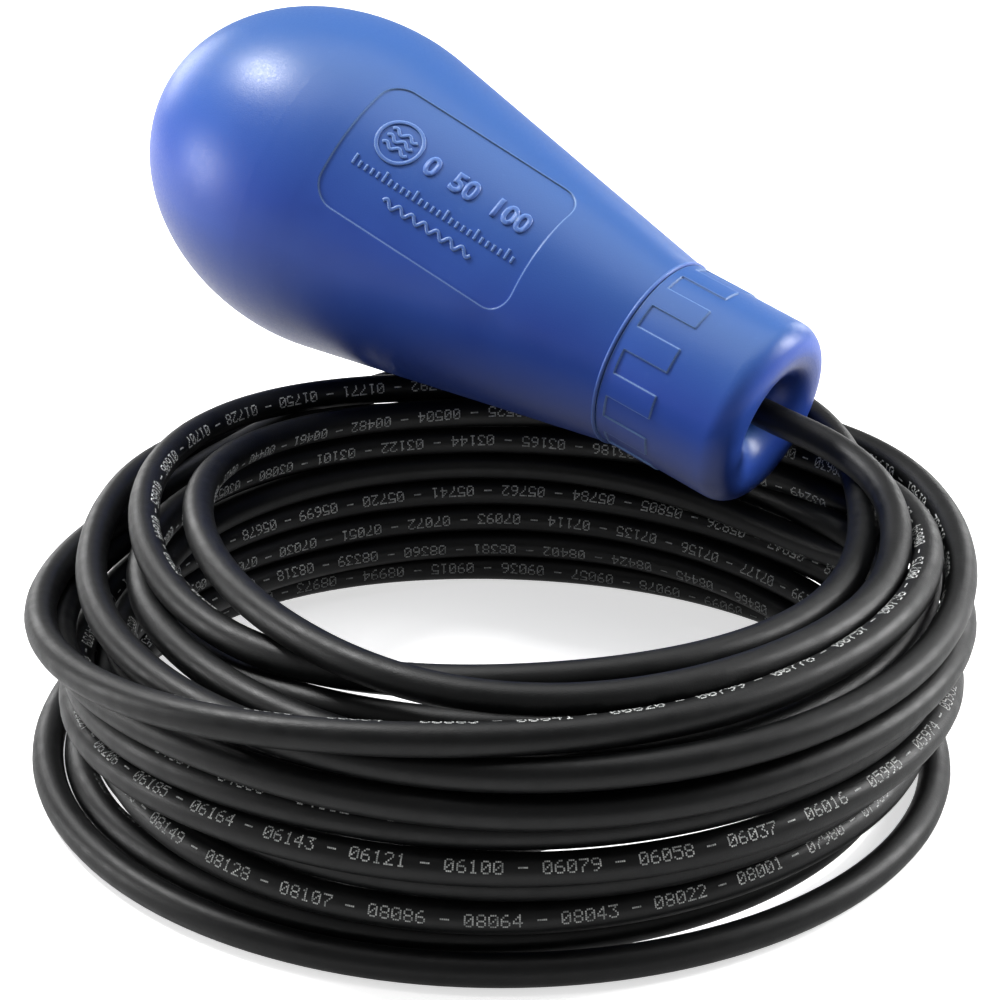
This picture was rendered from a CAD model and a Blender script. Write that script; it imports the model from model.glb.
import math

import bmesh
import bpy
import numpy as np
from mathutils import Matrix, Vector


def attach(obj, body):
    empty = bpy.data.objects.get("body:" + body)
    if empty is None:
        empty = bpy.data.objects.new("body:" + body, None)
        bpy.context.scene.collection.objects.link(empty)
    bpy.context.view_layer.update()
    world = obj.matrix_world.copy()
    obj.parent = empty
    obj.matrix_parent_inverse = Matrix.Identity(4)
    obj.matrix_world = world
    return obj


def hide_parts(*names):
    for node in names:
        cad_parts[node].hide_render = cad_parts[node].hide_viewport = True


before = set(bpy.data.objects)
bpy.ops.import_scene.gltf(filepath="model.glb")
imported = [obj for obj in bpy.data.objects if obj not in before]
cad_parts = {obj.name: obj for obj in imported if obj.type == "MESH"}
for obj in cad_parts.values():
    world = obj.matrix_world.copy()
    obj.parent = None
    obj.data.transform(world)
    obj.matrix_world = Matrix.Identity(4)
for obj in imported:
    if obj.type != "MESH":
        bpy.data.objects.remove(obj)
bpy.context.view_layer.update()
scene = bpy.context.scene

# Sizes are in millimetres; the cable's length, the camera, the lamps and the floor are in metres
MM = 0.001
CABLE_RADIUS = 4.0
COIL_OUTER = 122.0
BODY = "float_and_cable"

# Where the float lies: the same turn and seat as in the part's source, in millimetres
FLOAT_HEADING = -35.0
FLOAT_PITCH = 15.5
FLOAT_ROLL = 42.0
FLOAT_SEAT = Vector((10.0, 84.0, 94.2553))
SEAT_STATION = 130.0

# The pear's outline, in millimetres along its axis from the bulb's tip
BULB_RADIUS = 47.5
NOSE = 60.5
SHOULDER = 70.0
NECK_ANGLE = math.radians(11.3)
JOINT_STATION = 170.018
JOINT_RADIUS = 27.0
FLOAT_LENGTH = 210.018


def float_turn():
    """The float's own axes in the room: along the axis, across the panel, out of the panel."""
    heading = Matrix.Rotation(math.radians(FLOAT_HEADING), 3, "Z")
    pitch = Matrix.Rotation(math.radians(FLOAT_PITCH), 3, "Y")
    roll = Matrix.Rotation(math.radians(FLOAT_ROLL), 3, "X")
    return heading @ pitch @ roll


TURN = float_turn()


def in_room(station, across, out):
    """A point given on the float, in millimetres, as a place in the room, in metres."""
    local = Vector((station - SEAT_STATION, across, out))
    return (FLOAT_SEAT + TURN @ local) * MM


def pear_radius(station):
    """The float's outer radius at a station, from the bulb's tip to the lip of its mouth."""
    shoulder_end = NOSE + SHOULDER * math.sin(NECK_ANGLE)
    if station <= 0 or station >= FLOAT_LENGTH:
        return 0.0
    if station < NOSE:
        return BULB_RADIUS * math.sqrt(1 - ((NOSE - station) / NOSE) ** 2)
    if station < shoulder_end:
        return BULB_RADIUS - SHOULDER + math.sqrt(SHOULDER ** 2 - (station - NOSE) ** 2)
    if station < JOINT_STATION:
        return JOINT_RADIUS + (JOINT_STATION - station) * math.tan(NECK_ANGLE)
    return JOINT_RADIUS


def add_object(name, data):
    """A new object in the scene that shows a mesh, a curve, a camera or a lamp."""
    obj = bpy.data.objects.new(name, data)
    scene.collection.objects.link(obj)
    return obj


# Camera

LENS = 102.5
LOOKS_DOWN = 24.0

camera_data = bpy.data.cameras.new("camera")
camera_data.sensor_width = 36.0
camera_data.lens = LENS
camera_data.clip_end = 20.0
camera = add_object("camera", camera_data)
camera.location = (0.0, -0.6577, 0.3608)
camera.rotation_euler = (math.radians(90.0 - LOOKS_DOWN), 0.0, 0.0)
scene.camera = camera

# Cable

# The cable starts in the cap's gland and runs straight along the axis into the trumpet mouth
GLAND_STATION = 179.218
MOUTH_STATION = 205.218
LEAD_ROUTE = [
    tuple(in_room(GLAND_STATION, 0.0, 0.0) / MM),
    tuple(in_room(MOUTH_STATION, 0.0, 0.0) / MM),
    (87.1, 30.4, 70.5),
    (97.2, 13.6, 67.8),
    (99.9, -6.0, 65.2),
    (96.8, -26.0, 62.2),
]
TAIL_ROUTE = [
    (-54.5, 102.4, 4.3),
    (-33.6, 114.2, 4.3),
    (-11.0, 121.6, 4.3),
    (13.0, 125.6, 4.3),
    (37.0, 126.6, 4.3),
    (60.0, 124.4, 4.3),
]

# Where each turn of the coil passes eight places round the ring, clockwise from the right: the radius and the
# height of the cable's middle, from the first turn on top to the last on the floor
COIL_TURNS = [
    ((99, 65), (100, 65), (106, 64), (80, 65), (75, 64), (94, 57), (95, 53), (98, 56)),
    ((109, 62), (108, 60), (114, 60), (118, 54), (118, 44), (110, 50), (118, 60), (110, 62)),
    ((92, 57), (88, 60), (84, 61), (89, 58), (89, 62), (108, 62), (103, 57), (112, 60)),
    ((117, 56), (118, 53), (117, 55), (107, 54), (103, 52), (112, 52), (104, 49), (106, 48)),
    ((107, 50), (109, 51.5), (110, 51), (96, 55), (90, 52), (98, 47), (95, 45), (96, 45)),
    ((118, 45), (118, 44), (117, 43), (112, 46), (114, 36.5), (110, 40), (103, 41), (104, 40)),
    ((102, 43), (99, 52), (94.5, 53.5), (87.5, 52), (90, 42), (97, 38), (95, 37), (96, 36)),
    ((114, 37), (114, 37), (113, 36.5), (112, 37), (108, 28), (110, 30), (111, 30), (112, 30)),
    ((104, 31), (103, 41.5), (103.5, 44.5), (99, 43), (98, 33), (97, 30), (95, 29), (96, 28)),
    ((116, 29), (116, 30), (117, 29.5), (112, 29), (110, 20), (106, 24), (103, 25), (106, 24)),
    ((109, 23), (111, 23), (112.6, 23), (106, 23.5), (101, 24), (97, 21), (95, 21), (96, 20)),
    ((102, 20), (103, 31), (104, 32), (103, 12), (104, 11), (107, 15), (103, 17), (102, 16)),
    ((109, 14), (109, 15), (113.5, 15.5), (111, 16.8), (99, 16), (97, 13), (95, 12), (97, 12)),
    ((102, 9), (104, 7), (110.5, 7.5), (110.5, 8.5), (108, 5), (104, 6), (95, 4.3), (100, 4.3)),
    ((113, 4.3), (118, 4.3), (118, 4.5), (118, 4.3), (118, 4.3), (117, 4.3), (116, 4.3), (116, 4.3)),
]
PLACE_ANGLE = math.pi / 4
POINTS_PER_TURN = 32
# The angle left free between the end of a route and the first or last point of the turns
ROUTE_GAP = math.radians(11.0)


def laid_turns():
    """The turns as they are laid by hand: a smooth curve from place to place."""
    places = np.array([place for turn in COIL_TURNS for place in turn], dtype=float)
    lead_angle = math.atan2(-LEAD_ROUTE[-1][1], LEAD_ROUTE[-1][0])
    tail_angle = 2 * math.pi - math.atan2(TAIL_ROUTE[0][1], TAIL_ROUTE[0][0])
    first = lead_angle + ROUTE_GAP
    last = (len(COIL_TURNS) - 1) * 2 * math.pi + tail_angle - ROUTE_GAP
    points = []
    for swept in np.linspace(first, last, len(COIL_TURNS) * POINTS_PER_TURN):
        step = swept / PLACE_ANGLE
        number = min(int(step), len(places) - 2)
        t = step - number
        before = places[max(number - 1, 0)]
        start = places[number]
        end = places[number + 1]
        after = places[min(number + 2, len(places) - 1)]
        bow = (2 * before - 5 * start + 4 * end - after) * t * t
        twist = (3 * start - before - 3 * end + after) * t ** 3
        radius, height = 0.5 * (2 * start + (end - before) * t + bow + twist)
        points.append((radius * math.cos(-swept), radius * math.sin(-swept), height))
    return points


# Two points of the cable fewer steps apart than this belong to the same bend and don't push each other
SAME_BEND = 7
# Air between the cable's skin and the floor or the float
SKIN_GAP = 0.2
# How far past the bulb's tip and past the lip the cable is still kept off the float
PAST_TIP = 6.0
PAST_LIP = 5.0
END_INSET = 1.0
# The settling: its rounds, how often and how widely it looks for turns that touch, and how strongly it evens
# out the bends and holds the turns where they were laid, in its first and in its second half
ROUNDS = 500
ROUNDS_PER_SEARCH = 10
SEARCH_REACH = 6.0
EVENING = (0.3, 0.12)
HOLDING = (0.02, 0.006)


def nearest_on_runs(points, starts, ends):
    """How far along each run the nearest place to its point is, and the way from there to the point."""
    along = ends - starts
    share = ((points - starts) * along).sum(-1) / (along * along).sum(-1)
    share = np.clip(share, 0.0, 1.0)
    return share, points - (starts + along * share[..., None])


def close_pairs(line, reach):
    """Every point with every run of another turn that lies within reach of it."""
    share, way = nearest_on_runs(line[:, None], line[None, :-1], line[None, 1:])
    gap = np.linalg.norm(way, axis=-1)
    number = np.arange(len(line))
    gap[np.abs(number[:, None] - number[None, :-1]) < SAME_BEND] = np.inf
    return np.nonzero(gap < reach)


def keep_off_float(line):
    """Lifts each point of the cable out of the float's skin, straight away from its axis."""
    axis = np.array(TURN @ Vector((1, 0, 0)))
    tip = np.array(FLOAT_SEAT) - axis * SEAT_STATION
    station = (line - tip) @ axis
    out = line - tip - station[:, None] * axis
    distance = np.linalg.norm(out, axis=1)
    for number in range(len(line)):
        if -PAST_TIP < station[number] < FLOAT_LENGTH + PAST_LIP:
            beside = min(max(station[number], END_INSET), FLOAT_LENGTH - END_INSET)
            least = pear_radius(beside) + CABLE_RADIUS + SKIN_GAP
            if distance[number] < least:
                line[number] += out[number] * (least / distance[number] - 1)


def settled(line, held_start, held_end):
    """The cable with its turns pushed apart until none lies in another, and its bends evened out."""
    line = np.array(line, dtype=float)
    laid = line.copy()
    free = slice(held_start, len(line) - held_end)
    width = 2 * CABLE_RADIUS
    for number in range(ROUNDS):
        if number % ROUNDS_PER_SEARCH == 0:
            point, run = close_pairs(line, width + SEARCH_REACH)
        share, way = nearest_on_runs(line[point], line[run], line[run + 1])
        gap = np.linalg.norm(way, axis=-1)
        touching = gap < width
        index = point[touching]
        beside = run[touching]
        part = share[touching][:, None]
        depth = (width - gap[touching])[:, None]
        apart = np.maximum(gap[touching], 1e-6)[:, None]
        push = 0.5 * depth * way[touching] / apart
        move = np.zeros_like(line)
        weight = np.zeros(len(line))
        np.add.at(move, index, push)
        np.add.at(weight, index, 1.0)
        np.add.at(move, beside, -push * (1 - part))
        np.add.at(weight, beside, 1 - part[:, 0])
        np.add.at(move, beside + 1, -push * part)
        np.add.at(weight, beside + 1, part[:, 0])
        move /= np.maximum(weight, 1.0)[:, None]
        line[free] += move[free]
        bend = np.zeros_like(line)
        bow = (line[:-2] + line[2:]) / 2 - line[1:-1]
        bend[2:-2] = (bow[:-2] + bow[2:]) / 2 - bow[1:-1]
        late = number >= ROUNDS // 2
        line[free] -= EVENING[late] * bend[free]
        line[free] += HOLDING[late] * (laid[free] - line[free])
        middle = line[free]
        middle[:, 2] = np.maximum(middle[:, 2], CABLE_RADIUS + SKIN_GAP)
        radius = np.hypot(middle[:, 0], middle[:, 1])
        wide = radius > COIL_OUTER - CABLE_RADIUS
        middle[wide, :2] *= ((COIL_OUTER - CABLE_RADIUS) / radius[wide])[:, None]
        keep_off_float(middle)
    return line


def cable_curve(points):
    """One spline through the whole cable, with its round section."""
    curve = bpy.data.curves.new("cable", "CURVE")
    curve.dimensions = "3D"
    curve.resolution_u = 5
    curve.bevel_depth = 1.0
    curve.bevel_resolution = 7
    curve.use_fill_caps = True
    spline = curve.splines.new("NURBS")
    spline.points.add(len(points) - 1)
    for control, place in zip(spline.points, points):
        control.co = (place[0] * MM, place[1] * MM, place[2] * MM, 1.0)
        control.radius = CABLE_RADIUS * MM
    spline.order_u = 3
    spline.use_endpoint_u = True
    return add_object("cable", curve)


def spline_places(curve_object):
    """The places along a curve, in millimetres, read from its own spline with the round section off."""
    plain = curve_object.copy()
    plain.data = curve_object.data.copy()
    plain.data.bevel_depth = 0.0
    mesh = bpy.data.meshes.new_from_object(plain)
    places = np.array([vertex.co[:] for vertex in mesh.vertices]) / MM
    bpy.data.meshes.remove(mesh)
    bpy.data.objects.remove(plain)
    return places


# The figures of a dot printer: seven rows of five dots each, one number a row
DOT_FIGURES = {
    "0": (14, 17, 19, 21, 25, 17, 14),
    "1": (4, 12, 4, 4, 4, 4, 14),
    "2": (14, 17, 1, 2, 4, 8, 31),
    "3": (31, 2, 4, 2, 1, 17, 14),
    "4": (2, 6, 10, 18, 31, 2, 2),
    "5": (31, 16, 30, 1, 1, 17, 14),
    "6": (6, 8, 16, 30, 17, 17, 14),
    "7": (31, 1, 2, 4, 8, 8, 8),
    "8": (14, 17, 17, 14, 17, 17, 14),
    "9": (14, 17, 17, 15, 1, 2, 12),
    "-": (0, 0, 0, 31, 0, 0, 0),
    " ": (0, 0, 0, 0, 0, 0, 0),
}
DOT_ROWS = 7
DOT_COLUMNS = 5
DOT_PITCH = 0.44
DOT_SIZE = 0.36
FIGURE_STEP = (DOT_COLUMNS + 1) * DOT_PITCH
PRINT_LIFT = 0.03
# The print stops this far from both ends of the cable
PRINT_MARGIN = 60.0
# The way that untwisted print faces: to the front and up
PRINT_FACING = np.array([0.0, -0.8, 0.6])
# The cable's direction at a dot is read this far ahead of it
LOOK_AHEAD = 1.0
# How far the print has turned about the cable, in degrees, by the number of turns laid: 0 faces the front
PRINT_TWIST = (
    (0.0, 150), (0.5, 120), (0.75, 10), (1.25, 75), (1.75, 180), (2.25, 120),
    (2.75, 0), (3.25, 150), (4.25, 165), (4.75, 15), (5.25, 170), (6.5, 200),
    (7.25, 25), (8.25, 100), (8.75, 10), (9.25, 0), (10.25, 120), (10.75, 20),
    (11.5, 100), (12.25, -20), (13.25, 100), (13.75, 20), (14.25, 170), (15.0, 170),
)


def places_at(lengths, run, places):
    """The places at some lengths along a line whose own points lie at the lengths in run."""
    return np.stack([np.interp(lengths, run, places[:, axis]) for axis in range(3)], axis=1)


def dotted_print(places):
    """The running length in millimetres, printed in dots along the whole cable."""
    steps = np.linalg.norm(np.diff(places, axis=0), axis=1)
    run = np.concatenate([[0.0], np.cumsum(steps)])
    turned = -np.unwrap(np.arctan2(places[:, 1], places[:, 0])) / (2 * math.pi)
    twist = np.radians(np.interp(turned, *zip(*PRINT_TWIST)))
    spots = []
    place = PRINT_MARGIN
    while place < run[-1] - PRINT_MARGIN:
        text = "%05d - " % round(place)
        for number, sign in enumerate(text):
            for row, dots in enumerate(DOT_FIGURES[sign]):
                for column in range(DOT_COLUMNS):
                    if dots >> (DOT_COLUMNS - 1 - column) & 1:
                        back = number * FIGURE_STEP + column * DOT_PITCH
                        spots.append((place - back, (DOT_ROWS // 2 - row) * DOT_PITCH))
        place += len(text) * FIGURE_STEP
    dots = np.array(spots)
    middle = places_at(dots[:, 0], run, places)
    along = places_at(dots[:, 0] + LOOK_AHEAD, run, places) - middle
    along /= np.linalg.norm(along, axis=1)[:, None]
    front = PRINT_FACING - along * (along @ PRINT_FACING)[:, None]
    front /= np.linalg.norm(front, axis=1)[:, None]
    above = np.cross(along, front)
    angle = np.interp(dots[:, 0], run, twist) + dots[:, 1] / CABLE_RADIUS
    half = DOT_SIZE / 2 / CABLE_RADIUS
    corners = []
    for side, way in ((-1, -1), (1, -1), (1, 1), (-1, 1)):
        bend = (angle + way * half)[:, None]
        out = np.cos(bend) * front + np.sin(bend) * above
        corners.append(middle + side * DOT_SIZE / 2 * along + (CABLE_RADIUS + PRINT_LIFT) * out)
    points = np.stack(corners, axis=1).reshape(-1, 3) * MM
    faces = np.arange(len(points)).reshape(-1, 4)
    mesh = bpy.data.meshes.new("cable_print")
    mesh.from_pydata(points.tolist(), [], faces.tolist())
    return add_object("cable_print", mesh)


cable_line = settled(LEAD_ROUTE + laid_turns() + TAIL_ROUTE, len(LEAD_ROUTE), len(TAIL_ROUTE))
cable = cable_curve(cable_line)
cable_print = dotted_print(spline_places(cable))
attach(cable, BODY)
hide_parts("cable_lead", "cable_coil", "cable_tail")
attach(cable_print, BODY)

# Raised marks on the label panel

PANEL_DEPTH = 0.35
# The marks stand this high over the panel's floor and reach this far into it
MARK_HEIGHT = 0.34
MARK_ROOT = 0.1
# The marks are cut into cells of this size, inside this field, so that they bend with the neck
MARK_CELL = 1.2
MARK_FIELD = ((84.0, 140.0), (-14.0, 14.0))

# Places on the panel are given along the float from the bulb's tip, and across it from the panel's middle
FIGURES = "0  50  100"
FIGURE_SIZE = 8.0
FIGURE_BOLD = 0.30
FIGURES_AT = (101.0, 1.0)
RING_MIDDLE = (91.8, 4.6)
RING_RADIUS = 6.3
RING_POINTS = 48
RING_BAND = 1.0
TICKS = 27
TICKS_AT = (84.5, -7.2)
TICK_STEP = 1.95
LONG_TICK = 3.0
SHORT_TICK = 1.8
TICK_BAND = 0.7
# Each kind of wave has its length, its height and its number of waves
RING_WAVE = (8.0, 0.7, 2)
RING_WAVES_START = 87.8
RING_WAVE_LEVELS = (2.2, 4.6, 7.0)
WATER_LINE = (28.0, 0.9, 7)
WATER_LINE_AT = (97.0, -11.2)
WAVE_BAND = 0.9
WAVE_POINTS = 12


def shown_body_mesh(name, shape):
    """Turns a worked shape into an object of the float's moulding, on the body that holds everything."""
    bmesh.ops.recalc_face_normals(shape, faces=shape.faces)
    mesh = bpy.data.meshes.new(name)
    shape.to_mesh(mesh)
    shape.free()
    obj = add_object(name, mesh)
    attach(obj, BODY)
    return obj


def flat_text(words, size, bold, left, foot):
    """Words as a flat mesh on the panel."""
    curve = bpy.data.curves.new("words", "FONT")
    curve.body = words
    curve.size = size
    curve.offset = bold
    holder = bpy.data.objects.new("words", curve)
    mesh = bpy.data.meshes.new_from_object(holder)
    shape = bmesh.new()
    shape.from_mesh(mesh)
    bmesh.ops.remove_doubles(shape, verts=shape.verts, dist=0.001)
    bmesh.ops.translate(shape, verts=shape.verts, vec=(left, foot, 0.0))
    bpy.data.objects.remove(holder)
    bpy.data.curves.remove(curve)
    bpy.data.meshes.remove(mesh)
    return shape


def ribbon(shape, line, width, closed=False):
    """A flat band of one width along a line of places on the panel."""
    pairs = []
    count = len(line)
    for number, (u, v) in enumerate(line):
        before = line[number - 1] if closed or number else line[number]
        after = line[(number + 1) % count] if closed or number < count - 1 else line[number]
        way = Vector((after[0] - before[0], after[1] - before[1])).normalized() * width / 2
        left = shape.verts.new((u - way.y, v + way.x, 0))
        right = shape.verts.new((u + way.y, v - way.x, 0))
        pairs.append((left, right))
    last = count if closed else count - 1
    for number in range(last):
        a, b = pairs[number]
        d, c = pairs[(number + 1) % count]
        shape.faces.new((b, c, d, a))


def wave_line(left, foot, length, height, waves):
    """A sine line along the float."""
    count = waves * WAVE_POINTS
    places = []
    for number in range(count + 1):
        rise = height * math.sin(2 * math.pi * waves * number / count)
        places.append((left + length * number / count, foot + rise))
    return places


def raised_marks():
    """Three waves in a ring, figures, a scale of ticks and a water line, raised from the panel's floor."""
    shape = flat_text(FIGURES, FIGURE_SIZE, FIGURE_BOLD, *FIGURES_AT)
    ring = []
    for angle in np.linspace(0, 2 * math.pi, RING_POINTS + 1)[:-1]:
        across = RING_MIDDLE[1] + RING_RADIUS * math.sin(angle)
        ring.append((RING_MIDDLE[0] + RING_RADIUS * math.cos(angle), across))
    ribbon(shape, ring, RING_BAND, closed=True)
    for level in RING_WAVE_LEVELS:
        ribbon(shape, wave_line(RING_WAVES_START, level, *RING_WAVE), WAVE_BAND)
    for number in range(TICKS):
        tall = LONG_TICK if number % 5 == 0 else SHORT_TICK
        u = TICKS_AT[0] + TICK_STEP * number
        ribbon(shape, [(u, TICKS_AT[1]), (u, TICKS_AT[1] + tall)], TICK_BAND)
    ribbon(shape, wave_line(*WATER_LINE_AT, *WATER_LINE), WAVE_BAND)
    for way, (low, high) in zip((Vector((1, 0, 0)), Vector((0, 1, 0))), MARK_FIELD):
        for cut in np.arange(low, high, MARK_CELL):
            everything = shape.verts[:] + shape.edges[:] + shape.faces[:]
            bmesh.ops.bisect_plane(shape, geom=everything, plane_co=way * float(cut), plane_no=way)
    raised = bmesh.ops.extrude_face_region(shape, geom=shape.faces[:], use_keep_orig=True)
    tops = {item for item in raised["geom"] if isinstance(item, bmesh.types.BMVert)}
    for vertex in shape.verts:
        radius = pear_radius(vertex.co.x) - PANEL_DEPTH + (MARK_HEIGHT if vertex in tops else -MARK_ROOT)
        vertex.co = in_room(vertex.co.x, vertex.co.y, math.sqrt(radius ** 2 - vertex.co.y ** 2))
    return shown_body_mesh("panel_marks", shape)


panel_marks = raised_marks()

# Rib round the joint

RIB_STATION = JOINT_STATION - 0.5
RIB_RADIUS = 0.5
RIB_SINK = 0.05
RIB_STEPS_AROUND = 160
RIB_STEPS_IN_SECTION = 10


def joint_rib():
    """The thin moulded rib round the end of the shell, where the cap closes against it."""
    shape = bmesh.new()
    rows = []
    for around in np.linspace(0, 2 * math.pi, RIB_STEPS_AROUND + 1)[:-1]:
        row = []
        for turned in np.linspace(0, 2 * math.pi, RIB_STEPS_IN_SECTION + 1)[:-1]:
            station = RIB_STATION + RIB_RADIUS * math.cos(turned)
            radius = JOINT_RADIUS - RIB_SINK + RIB_RADIUS * math.sin(turned)
            place = in_room(station, radius * math.cos(around), radius * math.sin(around))
            row.append(shape.verts.new(place))
        rows.append(row)
    for number, row in enumerate(rows):
        following = rows[(number + 1) % RIB_STEPS_AROUND]
        for first in range(RIB_STEPS_IN_SECTION):
            second = (first + 1) % RIB_STEPS_IN_SECTION
            face = shape.faces.new((row[first], following[first], following[second], row[second]))
            face.smooth = True
    return shown_body_mesh("joint_rib", shape)


rib = joint_rib()

# Materials


def paint(code):
    """A colour as designers write it, turned into the light values that a shader takes."""
    channels = [int(code[i:i + 2], 16) / 255.0 for i in (1, 3, 5)]
    light = [c / 12.92 if c <= 0.04045 else ((c + 0.055) / 1.055) ** 2.4 for c in channels]
    return (*light, 1.0)


def feed(tree, socket, value):
    """Gives a socket a value, or links it to another node's output."""
    if isinstance(value, bpy.types.NodeSocket):
        tree.links.new(value, socket)
    else:
        socket.default_value = value


def set_sockets(tree, node, **sockets):
    """Feeds a node's inputs: by name, with an underscore for a space, or by number as in0, in1."""
    for name, value in sockets.items():
        key = name.replace("_", " ")
        numbered = key.startswith("in") and key[2:].isdigit()
        feed(tree, node.inputs[int(key[2:]) if numbered else key], value)


def add_node(tree, kind, settings=None, **sockets):
    """One node: its settings, then each named socket fed by a value or by another node's output."""
    node = tree.nodes.new("ShaderNode" + kind)
    for name, value in (settings or {}).items():
        setattr(node, name, value)
    set_sockets(tree, node, **sockets)
    return node


def math_node(tree, operation, first, second):
    """The result of one sum on two values."""
    return add_node(tree, "Math", {"operation": operation}, in0=first, in1=second).outputs[0]


def new_finish(name):
    """An empty material, its node tree, its surface shader and its position in millimetres."""
    material = bpy.data.materials.new(name)
    material.use_nodes = True
    tree = material.node_tree
    tree.nodes.clear()
    out = add_node(tree, "OutputMaterial")
    surface = add_node(tree, "BsdfPrincipled")
    tree.links.new(surface.outputs[0], out.inputs["Surface"])
    place = add_node(tree, "TexCoord").outputs["Object"]
    scaled = add_node(tree, "VectorMath", {"operation": "SCALE"}, in0=place, Scale=1 / MM).outputs[0]
    return material, tree, surface, scaled


def grain(tree, place, size, detail=3.0, rough=0.55):
    """Noise from 0 to 1 whose cells are about size millimetres across."""
    noise = add_node(tree, "TexNoise", None, Vector=place, Scale=1.0 / size, Detail=detail, Roughness=rough)
    return noise.outputs["Fac"]


def spread(tree, value, low, high, out_low=0.0, out_high=1.0):
    """A value from low to high taken to a value from out_low to out_high."""
    node = add_node(tree, "MapRange", {"clamp": True})
    tree.links.new(value, node.inputs["Value"])
    set_sockets(tree, node, From_Min=low, From_Max=high, To_Min=out_low, To_Max=out_high)
    return node.outputs["Result"]


def mixed(tree, share, first, second):
    """Two colours, the second by share."""
    node = add_node(tree, "Mix", {"data_type": "RGBA"})
    set_sockets(tree, node, Factor=share, in6=first, in7=second)
    return node.outputs[2]


def bumped(tree, height, depth, strength=1.0, under=None):
    """A bump of a depth in millimetres, on top of the one under it."""
    node = add_node(tree, "Bump", None, Strength=strength, Distance=depth * MM, Height=height)
    if under is not None:
        tree.links.new(under, node.inputs["Normal"])
    return node.outputs["Normal"]


def blue_polypropylene(name, dark, light, top, low, rub_share):
    """Injection-moulded polypropylene: a deep even blue with a soft sheen and a faint spark-eroded grain."""
    material, tree, surface, place = new_finish(name)
    # Slow drifts in tone where the melt flowed and cooled
    flow = spread(tree, grain(tree, place, 38.0, 2.0), 0.35, 0.65)
    tone = mixed(tree, flow, paint(dark), paint(light))
    # Faces that look up are bleached greyer by daylight, and faces that look down keep the deepest blue
    true = add_node(tree, "NewGeometry").outputs["Normal"]
    upward = add_node(tree, "SeparateXYZ", None, Vector=true).outputs["Z"]
    tone = mixed(tree, spread(tree, upward, 0.2, 0.85), tone, paint(top))
    tone = mixed(tree, spread(tree, upward, -0.05, -0.6), tone, paint(low))
    # Pale dust and fine rubs that catch on the grain
    rub = spread(tree, grain(tree, place, 3.2, 5.0, 0.7), 0.62, 0.78, 0.0, rub_share)
    tone = mixed(tree, rub, tone, paint("#5F86C4"))
    # Edges of the mould's cuts are rounded a little and polished paler by handling
    rounded = add_node(tree, "Bevel", {"samples": 6}, Radius=0.7 * MM).outputs["Normal"]
    agree = add_node(tree, "VectorMath", {"operation": "DOT_PRODUCT"}, in0=rounded, in1=true).outputs["Value"]
    edge = spread(tree, agree, 0.78, 0.992, 0.9, 0.0)
    tone = mixed(tree, edge, tone, paint("#8FB2E4"))
    gloss = spread(tree, grain(tree, place, 0.8, 4.0, 0.7), 0.3, 0.7, 0.29, 0.43)
    texture = bumped(tree, grain(tree, place, 0.4, 3.0), 0.035, 1.0, rounded)
    set_sockets(tree, surface, Base_Color=tone, Roughness=gloss, Normal=texture, Specular_IOR_Level=0.38)
    set_sockets(tree, surface, Subsurface_Weight=0.08, Subsurface_Scale=1.5 * MM)
    set_sockets(tree, surface, Subsurface_Radius=(0.3, 0.6, 1.0))
    return material


def rubber_sheath():
    """Extruded black rubber: near black, with a soft grey bloom, specks of talc and a faintly uneven skin."""
    material, tree, surface, place = new_finish("rubber_sheath")
    bloom = spread(tree, grain(tree, place, 11.0, 4.0, 0.65), 0.42, 0.72)
    tone = mixed(tree, bloom, paint("#040506"), paint("#0A0B0C"))
    # Talc left from the drum, in fine specks
    talc = spread(tree, grain(tree, place, 0.5, 3.0, 0.7), 0.64, 0.74, 0.0, 0.18)
    tone = mixed(tree, talc, tone, paint("#4C4F50"))
    gloss = spread(tree, grain(tree, place, 5.0, 4.0), 0.3, 0.7, 0.36, 0.50)
    skin = bumped(tree, grain(tree, place, 0.45, 4.0, 0.65), 0.06)
    swell = bumped(tree, grain(tree, place, 6.0, 2.0), 0.10, 0.5, skin)
    set_sockets(tree, surface, Base_Color=tone, Roughness=gloss, Normal=swell, Specular_IOR_Level=0.3)
    return material


def moulded(name, light, dark, rough):
    """A small moulded piece: two close tones, a little gloss and a fine grain."""
    material, tree, surface, place = new_finish(name)
    tone = mixed(tree, spread(tree, grain(tree, place, 7.0, 3.0), 0.35, 0.65), paint(dark), paint(light))
    gloss = spread(tree, grain(tree, place, 3.0, 3.0), 0.3, 0.7, rough - 0.05, rough + 0.05)
    texture = bumped(tree, grain(tree, place, 0.6, 2.0), 0.01)
    set_sockets(tree, surface, Base_Color=tone, Roughness=gloss, Normal=texture)
    return material


def metal(name, light, dark, rough, line=0.15, stretch=(1.0, 1.0, 14.0)):
    """A metal piece with the fine lines that rolling, drawing or stamping left."""
    material, tree, surface, place = new_finish(name)
    drawn = add_node(tree, "Mapping", None, Vector=place, Scale=stretch).outputs[0]
    lines = grain(tree, drawn, line * 8.0, 3.0, 0.6)
    tone = mixed(tree, spread(tree, grain(tree, place, 4.0, 3.0), 0.35, 0.65), paint(dark), paint(light))
    gloss = spread(tree, lines, 0.3, 0.7, rough - 0.06, rough + 0.08)
    texture = bumped(tree, lines, 0.004)
    set_sockets(tree, surface, Base_Color=tone, Metallic=1.0, Roughness=gloss, Normal=texture)
    return material


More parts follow.
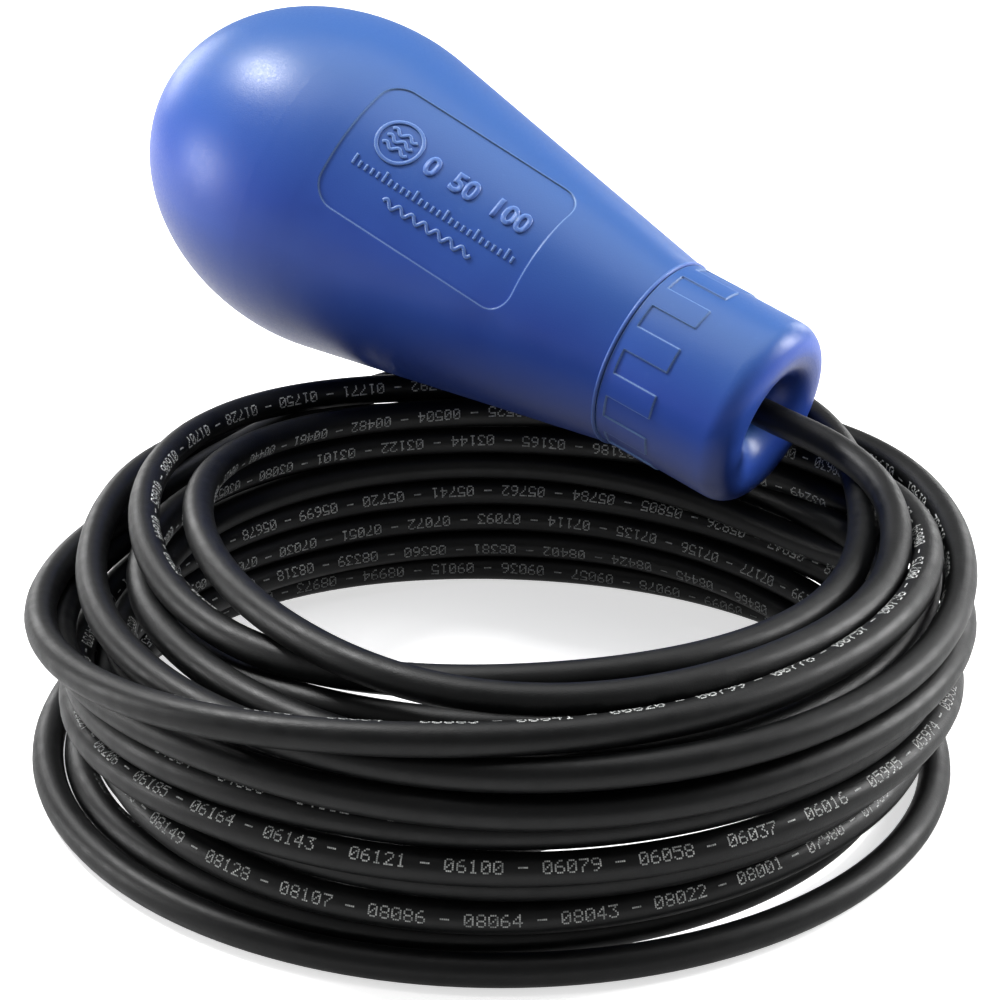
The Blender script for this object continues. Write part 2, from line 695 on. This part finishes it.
def collared_ferrule(name, collar_end):
    """A tinned crimp with a red polypropylene collar: the collar ends at a place along X, in millimetres."""
    material, tree, surface, place = new_finish(name)
    along = add_node(tree, "SeparateXYZ", None, Vector=place).outputs["X"]
    bare = spread(tree, along, collar_end - 0.05, collar_end + 0.05)
    red = mixed(tree, grain(tree, place, 2.0, 3.0), paint("#A81B16"), paint("#C22A20"))
    tin = mixed(tree, grain(tree, place, 1.0, 3.0), paint("#B9BABA"), paint("#D2D2D0"))
    crimp = bumped(tree, add_node(tree, "TexWave", None, Vector=place, Scale=0.35).outputs["Fac"], 0.12)
    tone = mixed(tree, bare, red, tin)
    gloss = spread(tree, bare, 0.0, 1.0, 0.38, 0.26)
    set_sockets(tree, surface, Base_Color=tone, Metallic=bare, Roughness=gloss, Normal=crimp)
    return material


def marking_ink():
    """Pale grey ink jetted on the sheath in dots, thin enough to let some black through."""
    material, tree, surface, place = new_finish("marking_ink")
    worn = spread(tree, grain(tree, place, 1.2, 4.0, 0.7), 0.36, 0.66)
    tone = mixed(tree, worn, paint("#868A89"), paint("#F1F3F1"))
    texture = bumped(tree, grain(tree, place, 0.2, 2.0), 0.01)
    set_sockets(tree, surface, Base_Color=tone, Roughness=0.6, Normal=texture)
    return material


blue = blue_polypropylene(
    "blue_polypropylene", dark="#3153B6", light="#395FC2", top="#325C9E", low="#243A80", rub_share=0.12
)
raised_blue = blue_polypropylene(
    "raised_blue_polypropylene", dark="#4D6CC2", light="#5778CE", top="#4B70B4", low="#3957A0", rub_share=0.25
)
nitrile = moulded("black_nitrile_rubber", "#1A1A1A", "#101010", 0.62)
acetal = moulded("white_acetal", "#E4E3DE", "#D8D7D1", 0.38)
tinned = metal("tinned_brass", "#C9C8C4", "#B4B3AE", 0.30)
brass = metal("stamped_brass", "#D2AE62", "#BD9850", 0.28)
finishes = {
    "float_shell": blue,
    "end_cap": blue,
    "cap_seal": nitrile,
    "gland_bush": moulded("grey_nitrile_rubber", "#55585A", "#484B4D", 0.6),
    "gland_washer": metal("stamped_stainless", "#BFC1C3", "#ABADB0", 0.30),
    "gland_nut": moulded("natural_nylon", "#D9D5C6", "#CCC8B8", 0.42),
    "capsule_body": moulded("black_polypropylene", "#202124", "#17181A", 0.45),
    "capsule_gasket": nitrile,
    "ball_bumper": nitrile,
    "ball_track": acetal,
    "switch_cradle": acetal,
    "steel_ball": metal("bearing_steel", "#C6C8CA", "#BABCBF", 0.10, 0.4, (1.0, 1.0, 1.0)),
    "switch_case": moulded("black_thermoset", "#161616", "#0E0E0E", 0.5),
    "lever_pin": metal("drawn_stainless", "#B8B9BB", "#A6A8AA", 0.24),
    "switch_lever": metal("spring_steel", "#A9ABAE", "#96989B", 0.26),
    "switch_plunger": moulded("red_polycarbonate", "#B3241C", "#9C1B15", 0.3),
    "contact_blade": brass,
    "common_terminal": brass,
    "open_terminal": brass,
    "closed_terminal": brass,
    "sleeve_common": tinned,
    "sleeve_open": tinned,
    "sleeve_closed": tinned,
    "tail_ferrule_black": collared_ferrule("ferrule_on_black", 92.36),
    "tail_ferrule_brown": collared_ferrule("ferrule_on_brown", 91.85),
    "tail_ferrule_grey": collared_ferrule("ferrule_on_grey", 90.84),
}
finishes["capsule_lid"] = finishes["capsule_body"]
finishes["switch_cover"] = finishes["switch_case"]
core_tones = {
    "black": ("#1B1C1D", "#121314"),
    "brown": ("#6A3D22", "#58301A"),
    "grey": ("#8B8E90", "#7C7F81"),
}
for colour, (light, dark) in core_tones.items():
    insulation = moulded(colour + "_core_insulation", light, dark, 0.5)
    finishes["inner_core_" + colour] = insulation
    finishes["tail_core_" + colour] = insulation


def give_finish(obj, material):
    """Puts one material on the whole of a piece."""
    obj.data.materials.clear()
    obj.data.materials.append(material)


for node_name, material in finishes.items():
    give_finish(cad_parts[node_name], material)
give_finish(cable, rubber_sheath())
give_finish(cable_print, marking_ink())
give_finish(panel_marks, raised_blue)
give_finish(rib, raised_blue)

# Studio


def plain_floor():
    """A pale matt floor, large enough to fill the view."""
    mesh = bpy.data.meshes.new("floor")
    half = 6.0
    corners = [(-half, -half, 0), (half, -half, 0), (half, half, 0), (-half, half, 0)]
    mesh.from_pydata(corners, [], [(0, 1, 2, 3)])
    obj = add_object("floor", mesh)
    material, tree, surface, place = new_finish("pale_floor")
    # White where it is seen, greyer in mirror images, and a mid grey in the light that it throws back up
    ray = add_node(tree, "LightPath").outputs
    mirrored = math_node(tree, "MULTIPLY", ray["Is Glossy Ray"], 0.45)
    seen = math_node(tree, "MAXIMUM", ray["Is Camera Ray"], mirrored)
    seen = math_node(tree, "MAXIMUM", seen, ray["Is Transmission Ray"])
    white = mixed(tree, grain(tree, place, 300.0, 2.0), paint("#F4F4F4"), paint("#F8F8F8"))
    tone = mixed(tree, seen, paint("#9A9A9A"), white)
    glow = spread(tree, seen, 0.0, 1.0, 0.0, 0.62)
    set_sockets(tree, surface, Base_Color=tone, Roughness=0.9)
    set_sockets(tree, surface, Emission_Strength=glow, Emission_Color=paint("#FFFFFF"))
    give_finish(obj, material)


def soft_lamp(name, place, aim, size, power):
    """A soft box that faces a point: places and sizes in metres, power in watts."""
    data = bpy.data.lights.new(name, "AREA")
    data.shape = "RECTANGLE"
    data.size = size[0]
    data.size_y = size[1]
    data.energy = power
    lamp = add_object(name, data)
    lamp.location = place
    lamp.rotation_euler = (Vector(aim) - Vector(place)).to_track_quat("-Z", "Y").to_euler()


plain_floor()
soft_lamp("lamp_overhead", (0.0, 0.25, 1.30), (0.0, 0.0, 0.05), (1.5, 1.1), 11.5)
soft_lamp("lamp_top_left", (-0.72, 0.40, 1.12), (-0.02, 0.06, 0.08), (0.28, 0.28), 15.5)
soft_lamp("lamp_left", (-1.08, 0.14, 0.20), (-0.08, 0.10, 0.12), (0.28, 0.28), 3.6)
soft_lamp("lamp_right", (1.05, 0.30, 0.50), (0.0, 0.0, 0.05), (0.30, 0.6), 13.0)
soft_lamp("lamp_back_left", (-0.75, 1.15, 0.34), (0.0, 0.0, 0.04), (0.45, 0.40), 3.0)
soft_lamp("lamp_back_right", (0.75, 1.15, 0.34), (0.0, 0.0, 0.04), (0.45, 0.40), 3.0)
scene.world = bpy.data.worlds.new("room")
scene.world.use_nodes = True
room_light = scene.world.node_tree.nodes["Background"]
room_light.inputs["Color"].default_value = paint("#FFFFFF")
room_light.inputs["Strength"].default_value = 0.31
scene.view_settings.view_transform = "Standard"

# Size

bpy.context.view_layer.update()
